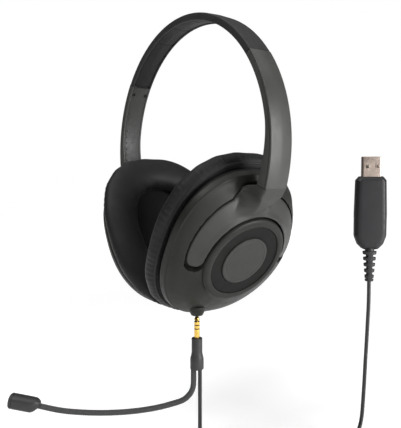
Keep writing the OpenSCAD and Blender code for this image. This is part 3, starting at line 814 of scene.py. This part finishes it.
def add_hub(side, label):
    """Hub ring with its skirt, the dark trim ring sunk in it, and the centre cap."""
    count = 288
    c, s = circle(count).T
    along = SKIRT_X * c + SKIRT_U * s
    reach = along + np.sqrt(along ** 2 - SKIRT_X ** 2 - SKIRT_U ** 2 + SKIRT_R ** 2)
    behind = 30.2 + 10.3 * step((-s - 0.3) / 0.5)
    reach = np.minimum(reach, np.where(c > 0, behind, 40.5))
    below = step((-8.2 - reach * s) / 0.6)
    foot = HUB_R + np.maximum(reach - HUB_R, 0) * below
    foot_n = np.minimum(dome(foot * c, foot * s) - 0.35, -1.2)
    rings = [(TRIM_R + 0.05, -2.2), (TRIM_R + 0.05, -0.3), (TRIM_R + 0.15, -0.1), (TRIM_R + 0.35, 0.0),
             (TRIM_R + 2.2, 0.05), (HUB_R - 1.9, -0.02), (HUB_R - 1.2, -0.2), (HUB_R - 0.4, -0.75)]
    rings += [(HUB_R - 0.4 + (foot - HUB_R + 0.4) * t, -0.75 + (foot_n + 0.75) * t ** 1.1)
              for t in np.arange(1, 9) / 8]
    rings += [(foot, foot_n - 0.8), (np.minimum(foot, HUB_R), -5.0), (TRIM_R + 0.05, -5.0)]
    hub = grid(label + "_hub_moulding", in_cup([level(circle(count, r), n) for r, n in rings], side),
               closed=True, sharp=35)
    put(hub, label + "_cup", "hub_ring", label + "_hub_ring")

    def cup_lathe(name, profile):
        return lathe(name, profile, lambda p: in_cup(p, side), 144, 30)

    trim = cup_lathe(label + "_trim_moulding", [
        (CAP_R + 0.06, -2.0), (CAP_R + 0.06, -1.15), (CAP_R + 0.3, -0.95), (CAP_R + 1.0, -0.85), (CAP_R + 4, -0.8),
        (TRIM_R - 1.2, -0.62), (TRIM_R - 0.35, -0.6), (TRIM_R - 0.05, -0.8), (TRIM_R - 0.05, -2.0),
        (CAP_R + 0.06, -2.0)])
    put(trim, label + "_cup", "trim_ring", label + "_trim_ring")
    cap = cup_lathe(label + "_cap_moulding", [
        (CAP_R - 0.06, -2.0), (CAP_R - 0.06, -0.55), (CAP_R - 0.2, -0.3), (CAP_R - 0.55, -0.16), (CAP_R - 2.2, -0.12),
        (CAP_R - 2.35, -0.2), (CAP_R - 2.5, -0.2), (CAP_R - 2.65, -0.1), (8, 0.0), (2, 0.04), (0.05, 0.05),
        (0.05, -2.0), (CAP_R - 0.06, -2.0)])
    put(cap, label + "_cup", "hub_cap", label + "_hub_cap")


def add_pins(side, label):
    """Two short steel pins that carry the cup in the yoke's legs."""
    profile = [(0.05, 30.2), (1.3, 30.2), (1.5, 30.4), (1.5, 38.4), (1.3, 38.6), (0.05, 38.6)]
    for end, way in (("front", 1), ("back", -1)):
        pin = lathe(f"{label}_{end}_pin", profile, lambda p: in_cup(
            placed(p, [0, 0, PIVOT_N], [0, way, 0], UP, [way, 0, 0]), side), 48, 30)
        put(pin, label + "_slide", "pivot_pins", label + "_pivot_pins")


def add_collar():
    """Nub round the microphone socket, under the left cup."""
    profile = [(3.12, COLLAR_Z), (3.6, COLLAR_Z), (3.85, -189.5), (4.9, -187.2), (5.6, -185.6), (5.6, -184.0),
               (3.12, -184.0), (3.12, COLLAR_Z)]
    collar = lathe("socket_collar", profile, on_plug, 72, 30)
    put(collar, "left_cup", "cup_shell")


for cup_side, cup_label in ((1, "left"), (-1, "right")):
    add_yoke(cup_side, cup_label)
    add_shell(cup_side, cup_label)
    add_hub(cup_side, cup_label)
    add_pins(cup_side, cup_label)
add_collar()


# ---------- ear cushions ----------

CUSHION_ROUND = 288
CUSHION_SECTION = spline([(0.13, 0), (0.0, 2.2), (0.01, 6), (0.1, 10.0), (0.27, 12.6), (0.5, 13.4), (0.74, 12.6),
                          (0.93, 10.2), (1.0, 6.8), (0.965, 3.4), (0.89, 1.2), (0.82, 0)], 2)
PLEATS = 92
CUSHION_HALF = (49.6, 58.2)
MIDDLE_GAP = 3.0


def cushion_rings():
    """Rings round the cushion, following its section from the opening out to the back edge."""
    inner = oval(25, 34, 2.3, CUSHION_ROUND)
    outer = oval(CUSHION_HALF[0], CUSHION_HALF[1], 2.4, CUSHION_ROUND)
    back = np.array([(0.82 - 0.69 * t, 0) for t in (0.25, 0.5, 0.75)])
    return np.array([level(inner + (outer - inner) * across + OUTLINE_CENTRE, CUSHION_N - depth)
                     for across, depth in np.concatenate([CUSHION_SECTION, back])])


def inflated(piece, start, held, cap):
    """The piece blown up by cloth simulation, with every point kept within cap of its start."""
    group = piece.vertex_groups.new(name="held")
    group.add([int(i) for i in held], 1.0, "REPLACE")
    sim = piece.modifiers.new("pad", "CLOTH").settings
    sim.effector_weights.gravity = 0
    for setting, value in (("use_pressure", True), ("uniform_pressure_force", 4), ("vertex_group_mass", "held"),
                           ("quality", 5), ("tension_stiffness", 40), ("compression_stiffness", 40)):
        setattr(sim, setting, value)
    scene = bpy.context.scene
    for frame_no in range(1, 21):
        scene.frame_set(frame_no)
    applied(piece)
    scene.frame_set(1)
    moved = vertices(piece) - start
    far = np.linalg.norm(moved, axis=1, keepdims=True)
    return start + moved * np.minimum(1, cap / np.maximum(far, 1e-6))


def off_middle(points):
    """Presses the cushion flat where it would come too near the middle plane."""
    up, out = points[:, 1], points[:, 2]
    flat = (MIDDLE_GAP - CUP_CENTRE[0] - up * CUP_UP[0]) / CUP_OUT[0]
    soft = 0.9
    over = np.clip((out - flat) / soft, -1, 1)
    points[:, 2] = np.where(over < 1, flat + soft * (1 + over) ** 2 / 4, out)
    return points


def cushion_shape():
    """Points and faces of the left cushion in the cup frame: padded, pressed and pleated."""
    rings = cushion_rings()
    piece = grid("cushion_form", rings, closed=True, sharp=180)
    start = rings.reshape(-1, 3)
    held = np.flatnonzero(start[:, 2] > CUSHION_N - 0.5)
    points = inflated(piece, start, held, 1.6)
    points[:, 2] = np.minimum(points[:, 2], CUSHION_N)
    move_to(piece, off_middle(points))
    fine = piece.modifiers.new("fine", "SUBSURF")
    fine.levels = 1
    applied(piece)

    p = vertices(piece)
    x, u = (p[:, :2] - OUTLINE_CENTRE).T
    depth = CUSHION_N - p[:, 2]
    half_x, half_u = CUSHION_HALF
    turn = np.arctan2(u / half_u, x / half_x)
    away = np.stack([np.cos(turn) / half_x, np.sin(turn) / half_u], axis=-1)
    away /= np.linalg.norm(away, axis=1, keepdims=True)
    outer = step((np.hypot(x / half_x, u / half_u) - 0.84) / 0.06)
    wander = 1.6 * np.sin(5 * turn + 1) + 0.9 * np.sin(13 * turn)
    strength = 0.30 + 0.12 * np.sin(9 * turn + 2) + 0.08 * np.sin(23 * turn)
    fold = np.abs(np.sin((PLEATS * turn + wander) / 2)) ** 0.7 - 0.6
    window = step((depth - 0.3) / 1.6) * (1 - step((depth - 3.5) / 6.5)) * outer
    p[:, :2] += away * (strength * fold * window)[:, None]
    slow = 0.16 * np.sin(17 * turn + 3 * np.sin(3 * turn)) * step(depth / 6) * (1 - step((depth - 10) / 3))
    p[:, :2] += away * slow[:, None]
    faces = [tuple(f.vertices) for f in piece.data.polygons]
    bpy.data.objects.remove(piece)
    return off_middle(p), faces


def tube(path, radius, count=12):
    """Rings of a round tube along a closed path that lies in a plane across z."""
    ahead = np.roll(path, -1, axis=0) - np.roll(path, 1, axis=0)
    ahead /= np.linalg.norm(ahead, axis=1, keepdims=True)
    c, s = circle(count, radius).T
    return path[:, None, :] + c[:, None] * np.cross(ahead, UP)[:, None, :] + s[:, None] * UP


def add_cushion(side, label, points, faces):
    body = label + "_cup"
    cushion = solid(label + "_cushion_pad", in_cup(points, side), faces, 180)
    put(cushion, body, "cushion", label + "_cushion")

    path = level(oval(45.9, 54.5, 2.4, 360) + OUTLINE_CENTRE, CUSHION_N - 0.85)
    piping = grid(label + "_piping", in_cup(tube(path, 0.95), side), closed=True, sharp=180)
    put(piping, body, "cushion")

    rows = [level(oval(29.6 * scale, 39.1 * scale, 2.3, 180) + OUTLINE_CENTRE, CUSHION_N - rise)
            for scale, rise in ((1.0, -0.45), (1.0, -0.05), (0.97, 0.02), (0.8, 0.14), (0.6, 0.22), (0.4, 0.27),
                                (0.2, 0.3), (0.02, 0.3))]
    cloth_disc = grid(label + "_cloth", in_cup(rows, side), sharp=50)
    put(cloth_disc, body, "ear_cloth", label + "_ear_cloth")
    if side < 0:
        dress(cloth_disc, "ear_cloth_right")


pad_points, pad_faces = cushion_shape()
add_cushion(1, "left", pad_points, pad_faces)
add_cushion(-1, "right", pad_points, pad_faces)


# ---------- microphone plug, boom and capsule ----------

def add_jack():
    """Gold contacts with dark rings between them, turned to the profile of a four-pole plug."""
    def part(name, profile):
        return lathe(name, [(r, TIP_Z - z) for r, z in profile], on_plug, 64, 25)

    tip = part("tip", [(0.05, 0.0), (0.55, 0.02), (0.95, 0.12), (1.22, 0.4), (1.7, 1.75), (1.74, 2.0), (1.68, 2.2),
                       (1.15, 2.75), (1.05, 2.9), (1.08, 3.02), (0.05, 3.02)])
    contacts = join("jack_turned_contacts", [tip] + [
        part("contact", [(0.05, top), (1.66, top), (1.74, top + 0.08), (1.75, top + 0.2), (1.75, bottom - 0.2),
                         (1.74, bottom - 0.08), (1.66, bottom), (0.05, bottom)])
        for top, bottom in ((3.5, 5.4), (5.9, 7.8), (8.3, 14.0))])
    put(contacts, "mic_plug", "jack_contacts", "jack_contacts")
    bands = join("jack_bands", [
        part("band", [(0.05, top), (1.68, top), (1.7, top + 0.1), (1.7, bottom - 0.1), (1.68, bottom), (0.05, bottom)])
        for top, bottom in ((3.02, 3.5), (5.4, 5.9), (7.8, 8.3))])
    put(bands, "mic_plug", "jack_insulators", "jack_insulators")


def add_grip():
    profile = [(1.8, 0), (3.1, 0), (3.35, 0.08), (3.5, 0.3), (3.5, 9.2), (3.56, 9.9), (3.85, 11.4), (4.2, 12.6),
               (4.36, 13.4), (4.4, 14.2), (4.4, 19.7), (4.33, 20.05), (4.1, 20.3), (0.05, 20.3), (0.05, 0.02)]
    grip = lathe("grip_moulding", [(r, GRIP_Z - z) for r, z in profile], on_plug, 96, 30)
    put(grip, "mic_plug", "plug_grip", "plug_grip")


BOOM_ROUTE = [(BOOM_OFF, GRIP_END_Z + 3), (BOOM_OFF, -232), (-2.6, -237), (-4.6, -241.5), (-9, -245.5), (-16, -248),
              (-26, -250.6), (-38, -252.6), (-50, -253.7), (-63, -254.1), (-76, -253.7), (-89, -252.4),
              (-103, -249.4), (-107, -248.6)]


def add_boom():
    """The gooseneck: a round boom with a woven sleeve and two raised lengthwise cores."""
    coarse = spline(BOOM_ROUTE, 24)
    run = np.concatenate([[0], np.cumsum(np.linalg.norm(np.diff(coarse, axis=0), axis=1))])
    at = np.arange(0, run[-1], 0.32)
    path = np.stack([np.interp(at, run, coarse[:, 0]), np.interp(at, run, coarse[:, 1])], axis=-1)
    ahead = np.gradient(path, axis=0)
    ahead /= np.linalg.norm(ahead, axis=1, keepdims=True)
    a = np.arange(56) * 2 * math.pi / 56
    rows = []
    for (x, z), (ahead_x, ahead_z), gone in zip(path, ahead, at):
        weave = np.sin(7 * a + gone * 2.6) * np.sin(7 * a - gone * 2.6)
        cores = np.exp(-((np.degrees(a) - 248) / 9) ** 2) + np.exp(-((np.degrees(a) - 292) / 9) ** 2)
        radius = BOOM_D / 2 - 0.12 + 0.12 * weave + 0.1 * cores
        across = radius * np.cos(a)
        rows.append(np.stack([x + across * ahead_z, radius * np.sin(a), z - across * ahead_x], axis=-1))
    boom = grid("boom_sleeve", in_plug(rows), sharp=70)
    put(boom, "mic_plug", "gooseneck", "gooseneck")


MIC_LEAN = math.radians(11)
MIC_ALONG = np.array([-math.cos(MIC_LEAN), 0, math.sin(MIC_LEAN)])
MIC_UP = np.array([math.sin(MIC_LEAN), 0, math.cos(MIC_LEAN)])
MIC_PLACE = np.array([-103, 0, -249.4])


def in_mic(points):
    return in_plug(placed(points, MIC_PLACE, MIC_UP, [0, 1.0, 0], MIC_ALONG))


def mic_ring(low, high, wide, along, inset=0.0):
    """Cross-section of the capsule: flat on top, rounded below."""
    middle, half = (low + high) / 2, (high - low) / 2 - inset
    return level(oval(half, wide - inset, 2.8, 72) + [middle, 0], along)


MIC_BACK = [(-1.0, 0.4, 2.5, 1.2), (-0.95, 0.1, 2.75, 1.6), (-0.6, -0.7, 3.2, 2.3), (0.2, -1.7, 3.75, 3.0),
            (1.0, -2.5, 4.3, 3.5), (1.7, -3.2, 4.6, 3.9), (2.6, -3.95, 4.7, 4.3), (3.6, -4.5, 4.7, 4.6),
            (4.6, -4.7, 4.7, 4.8), (6.5, -4.7, 4.7, 4.9), (10, -4.7, 4.7, 4.9), (14, -4.7, 4.7, 4.9),
            (16.5, -4.7, 4.7, 4.9), (16.72, -4.65, 4.65, 4.85)]
MIC_FRONT = [(0.0, 17.15), (0.0, 17.6), (0.15, 18.3), (0.5, 18.8), (0.95, 19.08), (1.5, 19.2), (3.0, 19.2)]
HOLE_PITCH = 1.15


def add_mic():
    """The capsule's housing and its end cap, with a pattern of small holes."""
    rows = [mic_ring(low, high, wide, along) for along, low, high, wide in MIC_BACK]
    rows += [mic_ring(-4.7, 4.7, 4.9, along, inset) for along, inset in ((16.75, 0.45), (17.0, 0.5))]
    shell = grid("mic_moulding", in_mic(rows), sharp=32)
    put(shell, "mic_plug", "mic_shell", "mic_shell")
    rows = [mic_ring(-4.7, 4.7, 4.9, along, inset) for along, inset in ((16.95, 0.5), (16.98, 0.06))]
    rows += [mic_ring(-4.7 + inset * 0.8, 4.7, 4.9, along, inset) for inset, along in MIC_FRONT]
    cap = grid("mic_end_cap", in_mic(rows), sharp=32)
    places = [(x, (k - (count - 1) / 2) * HOLE_PITCH)
              for x, count in ((-2.2, 3), (-1.1, 4), (0, 5), (1.1, 4), (2.2, 3)) for k in range(count)]
    cutters = [grid("hole", in_mic([level(circle(12, 0.36) + place, z) for z in (18.3, 20.5)])) for place in places]
    drill(cap, [join("holes", cutters)])
    put(cap, "mic_plug", "mic_cap", "mic_cap")


add_jack()
add_grip()
add_boom()
add_mic()


# ---------- USB plug ----------

def usb_rows(sections):
    """Rings of rounded rectangles: (width, thickness, corner radius, height)."""
    return in_usb([level(rounded([(wide / 2, -thick / 2), (wide / 2, thick / 2), (-wide / 2, thick / 2),
                                  (-wide / 2, -thick / 2)], radius, 5), z) for wide, thick, radius, z in sections])


def usb_cutter(x, y, z):
    """A block from pairs of limits."""
    return grid("cutter", in_usb([level(box(x, y), h) for h in z]))


def add_usb_shell():
    """Folded metal shell with its latch windows and the folded seam at the back."""
    wall = 0.35
    low = USB_TOP_Z - 3.6
    rows = usb_rows([(12, 4.5, 0.6, low), (12, 4.5, 0.6, USB_TIP_Z - 0.35), (11.86, 4.36, 0.6, USB_TIP_Z - 0.08),
                     (11.7, 4.2, 0.5, USB_TIP_Z), (12 - 2 * wall, 4.5 - 2 * wall, 0.35, USB_TIP_Z - 0.12),
                     (12 - 2 * wall, 4.5 - 2 * wall, 0.35, low)])
    shell = grid("usb_folded_shell", rows, closed=True, sharp=35)
    cutters = [usb_cutter((x - 1.1, x + 1.1), y, (USB_TIP_Z - 7.6, USB_TIP_Z - 5.4))
               for x in (-3.2, 3.2) for y in ((-3, -1.9), (1.9, 3))]
    cutters.append(usb_cutter((-0.06, 0.06), (2.1, 3), (low - 1, USB_TIP_Z + 1)))
    drill(shell, cutters)
    put(shell, "mic_plug", "usb_shell", "usb_shell")
    rows = usb_rows([(10.9, 1.7, 0.2, USB_TOP_Z - 3), (11.1, 1.8, 0.25, USB_TIP_Z - 1.6),
                     (10.9, 1.5, 0.3, USB_TIP_Z - 1.0), (10.5, 1.2, 0.3, USB_TIP_Z - 0.8)])
    tongue = grid("usb_tongue_moulding", rows + AWAY, sharp=35)
    put(tongue, "mic_plug", "usb_tongue", "usb_tongue")


def usb_outline(inset):
    """Outline of the USB body moved inwards by an inset, always with the same number of points."""
    h = USB_W / 2
    right = [(h - 2.4, USB_TOP_Z, 0.8), (h - 0.1, USB_TOP_Z - 2.6, 1.2), (h + 0.5, USB_END_Z + 24, 14),
             (h + 0.5, USB_END_Z + 9, 6), (h - 1.6, USB_END_Z + 3.6, 3), (h - 5.2, USB_END_Z, 3.6)]
    left = [(-x, z, r) for x, z, r in right]
    corners = left[:1] + right + left[:0:-1]
    moved = []
    for k, corner in enumerate(corners):
        here = np.array(corner[:2])
        ahead = np.array(corners[(k + 1) % len(corners)][:2]) - here
        behind = here - np.array(corners[k - 1][:2])
        ahead, behind = ahead / np.linalg.norm(ahead), behind / np.linalg.norm(behind)
        turn = np.array([[ahead[1], -ahead[0]], [behind[1], -behind[0]]])
        shift = np.linalg.solve(turn, [inset, inset])
        moved.append((*(here + shift), max(corner[2] - 0.4 * inset, 0.4)))
    return rounded(moved, 1, 7)


def add_usb_half(end, sign):
    profile = [(3.2, 0.06), (0.55, 0.06), (0.12, 0.14), (0.0, 0.3), (0.0, 1.9), (0.1, 2.1), (1.55, 3.55), (1.75, 3.72),
               (2.2, 3.92), (3.0, 4.08), (4.2, 4.16)]
    rows = [level(usb_outline(inset), sign * depth)[:, [0, 2, 1]] for inset, depth in profile]
    half = grid("usb_moulding_" + end, in_usb(rows), sharp=28)
    put(half, "mic_plug", "usb_body_" + end, "usb_body_" + end)


def add_relief():
    """Strain relief: a tapering spine front and back with paired side notches."""
    count = 96
    c, s = np.abs(circle(count)).T
    sides = step((c - 0.45) / 0.3)
    rings = [(2.6, USB_END_Z + 2.5), (2.95, USB_END_Z - 0.2), (3.0, RELIEF_TOP_Z + 0.35), (3.3, RELIEF_TOP_Z + 0.05)]
    for z in np.arange(0.1, RELIEF_L, 0.2):
        taper = 4.75 - 1.95 * (z / RELIEF_L) ** 0.9
        phase = (z - 0.2) % 4.0
        notch = step((phase - 2.05) / 0.35) * (1 - step((phase - 3.55) / 0.35)) if z < 18.9 else 0
        edge = 0.25 * (np.exp(-(phase / 0.25) ** 2) + np.exp(-((phase - 2.1) / 0.25) ** 2))
        rings.append((taper * (1 - 0.27 * s ** 2) - sides * (notch * (taper - 2.05) + edge), RELIEF_TOP_Z - z))
    rings.append((1.5, RELIEF_END_Z + 0.02))
    relief = grid("relief_moulding", in_usb([level(circle(count, r), z) for r, z in rings]))
    put(relief, "mic_plug", "usb_strain_relief", "usb_strain_relief")


add_usb_shell()
add_usb_half("front", -1)
add_usb_half("back", 1)
add_relief()

USB_PIECES = [bpy.data.objects[n] for n in ("usb_folded_shell", "usb_tongue_moulding", "usb_moulding_front",
                                            "usb_moulding_back", "relief_moulding")]
USB_PIECES += [frame["nodes"][n] for n in ("usb_contacts", "usb_board")]


# ---------- lead and what is on it ----------

put(lead, "mic_plug", "plug_lead", "plug_lead", "usb_lead", "cord_coil")


STRAP_W = 5.0


def add_tie():
    """Hook-and-loop strap closed round one side of the coil."""
    half_r = COIL_COLUMNS * CORD_D / 2
    low, high = FLOOR_Z, COIL_HIGH_Z + CORD_D / 2 + TIE_T
    near = COIL_R - half_r - 0.65 - TIE_T
    far = COIL_R + half_r + 0.1 + TIE_T
    outside = rounded(box((near, far), (low, high)), 2.2, 8)
    inside = rounded(box((near + TIE_T, far - TIE_T), (low + TIE_T, high - TIE_T)), 1.4, 8)
    turn = math.radians(143)
    out = np.array([math.cos(turn), math.sin(turn), 0])
    along = np.array([-math.sin(turn), math.cos(turn), 0])
    rows = [placed(np.insert(loop, 2, side * STRAP_W / 2, axis=1), [COIL_X, COIL_Y, 0], out, UP, along)
            for loop, side in ((outside, 0.94), (outside, 1), (inside, 1), (inside, -1), (outside, -1),
                               (outside, -0.94))]
    for end in (0, -1):
        rows[end] = rows[end] - 0.12 * (rows[end] - rows[end].mean(axis=0)) / half_r
    strap = grid("tie_strap_loop", rows, closed=True)
    put(strap, "mic_plug", "coil_tie", "coil_tie")


add_tie()


# ---------- light and floor ----------

FLOOR_R = 2.6  # metres
FILL = 0.05


def area_light(name, place, target, width, height, power):
    light = bpy.data.lights.new(name, "AREA")
    light.shape = "RECTANGLE"
    light.size, light.size_y = width, height
    light.energy = power
    lamp = new_object(name, light)
    lamp.location = place
    lamp.rotation_euler = (Vector(target) - Vector(place)).to_track_quat("-Z", "Y").to_euler()


def add_floor():
    mesh = bpy.data.meshes.new("floor")
    rim = level(circle(180, FLOOR_R), (FLOOR_Z - 0.05) * MM)
    mesh.from_pydata(rim.tolist(), [], [tuple(range(len(rim)))])
    floor = new_object("floor", mesh)
    n = Nodes("floor")
    away = n.node("VectorMath", {0: n.coords}, operation="LENGTH").outputs["Value"]
    tint = n.blend(n.noise(3, 2), (0.88, 0.88, 0.88, 1), (0.92, 0.92, 0.92, 1))
    mesh.materials.append(n.paint(Base_Color=tint, Roughness=0.9, Specular_IOR_Level=0.1,
                                  Emission_Color=(1, 1, 1, 1), Emission_Strength=n.spread(away, 0.26, 1.0, 0.5, 1.7)))


def add_world():
    """A white studio seen by the camera, with less light coming from it so that forms stay readable."""
    world = bpy.data.worlds.new("studio")
    world.use_nodes = True
    tree = world.node_tree
    seen = tree.nodes.new("ShaderNodeLightPath")
    strength = tree.nodes.new("ShaderNodeMapRange")
    strength.inputs["To Min"].default_value = FILL
    strength.inputs["To Max"].default_value = 1.0
    tree.links.new(seen.outputs["Is Camera Ray"], strength.inputs["Value"])
    tree.nodes["Background"].inputs["Color"].default_value = (1, 1, 1, 1)
    tree.links.new(strength.outputs["Result"], tree.nodes["Background"].inputs["Strength"])
    bpy.context.scene.world = world


bpy.context.scene.view_settings.view_transform = "Standard"
add_floor()
add_world()
area_light("key", (0.95, 0.4, -0.02), (0.03, 0, -0.13), 0.4, 0.62, 14)
area_light("top", (0.2, -0.2, 1.35), (0.1, 0.0, -0.28), 2.4, 2.4, 25)
area_light("front", (0.12, -0.75, 0.85), (0.05, 0.0, -0.1), 0.5, 0.5, 5.5)
